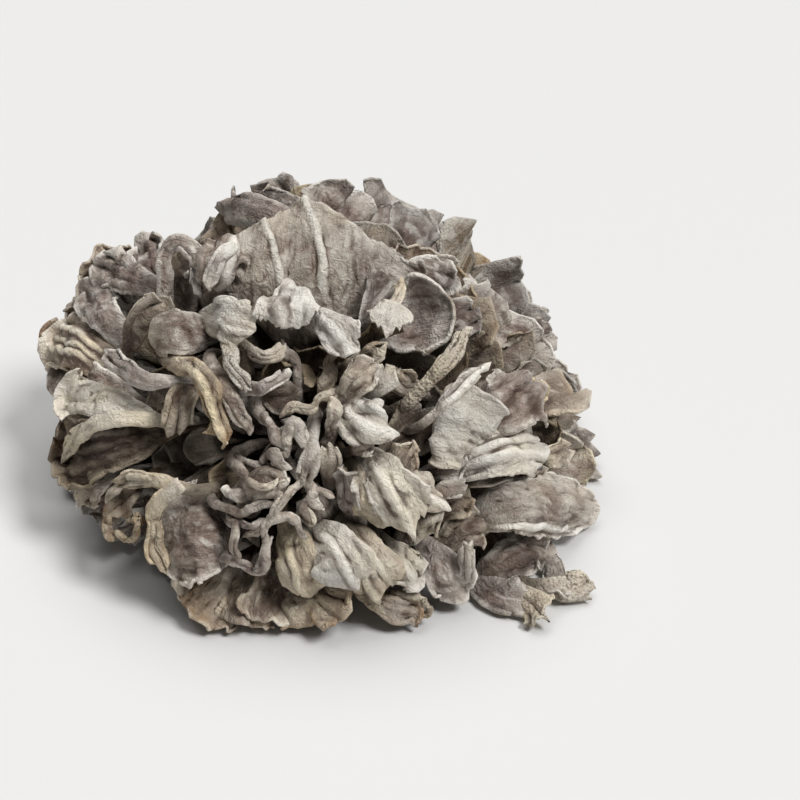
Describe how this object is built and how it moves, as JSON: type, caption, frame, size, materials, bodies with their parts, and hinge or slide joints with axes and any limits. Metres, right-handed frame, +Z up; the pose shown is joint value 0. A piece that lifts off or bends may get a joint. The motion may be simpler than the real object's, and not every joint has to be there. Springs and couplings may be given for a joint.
{
  "type": "dried maitake mushroom",
  "caption": "Dried hen-of-the-woods cluster: a dome of overlapping fan-shaped fronds round a curled heart, resting on its flat cut base.",
  "frame": {"origin": "middle of the flat cut face under the base", "axes": "+Z up out of the cut face; the heart of the rosette leans towards -Y; +X to the right of someone facing it"},
  "size_m": [0.1606, 0.1447, 0.0802],
  "materials": {
    "dried_flesh": "dry, matt and wrinkled, grey-brown caps with cream edges and undersides"
  },
  "bodies": {
    "root": {"maitake_cluster": "dried_flesh"}
  },
  "joints": []
}
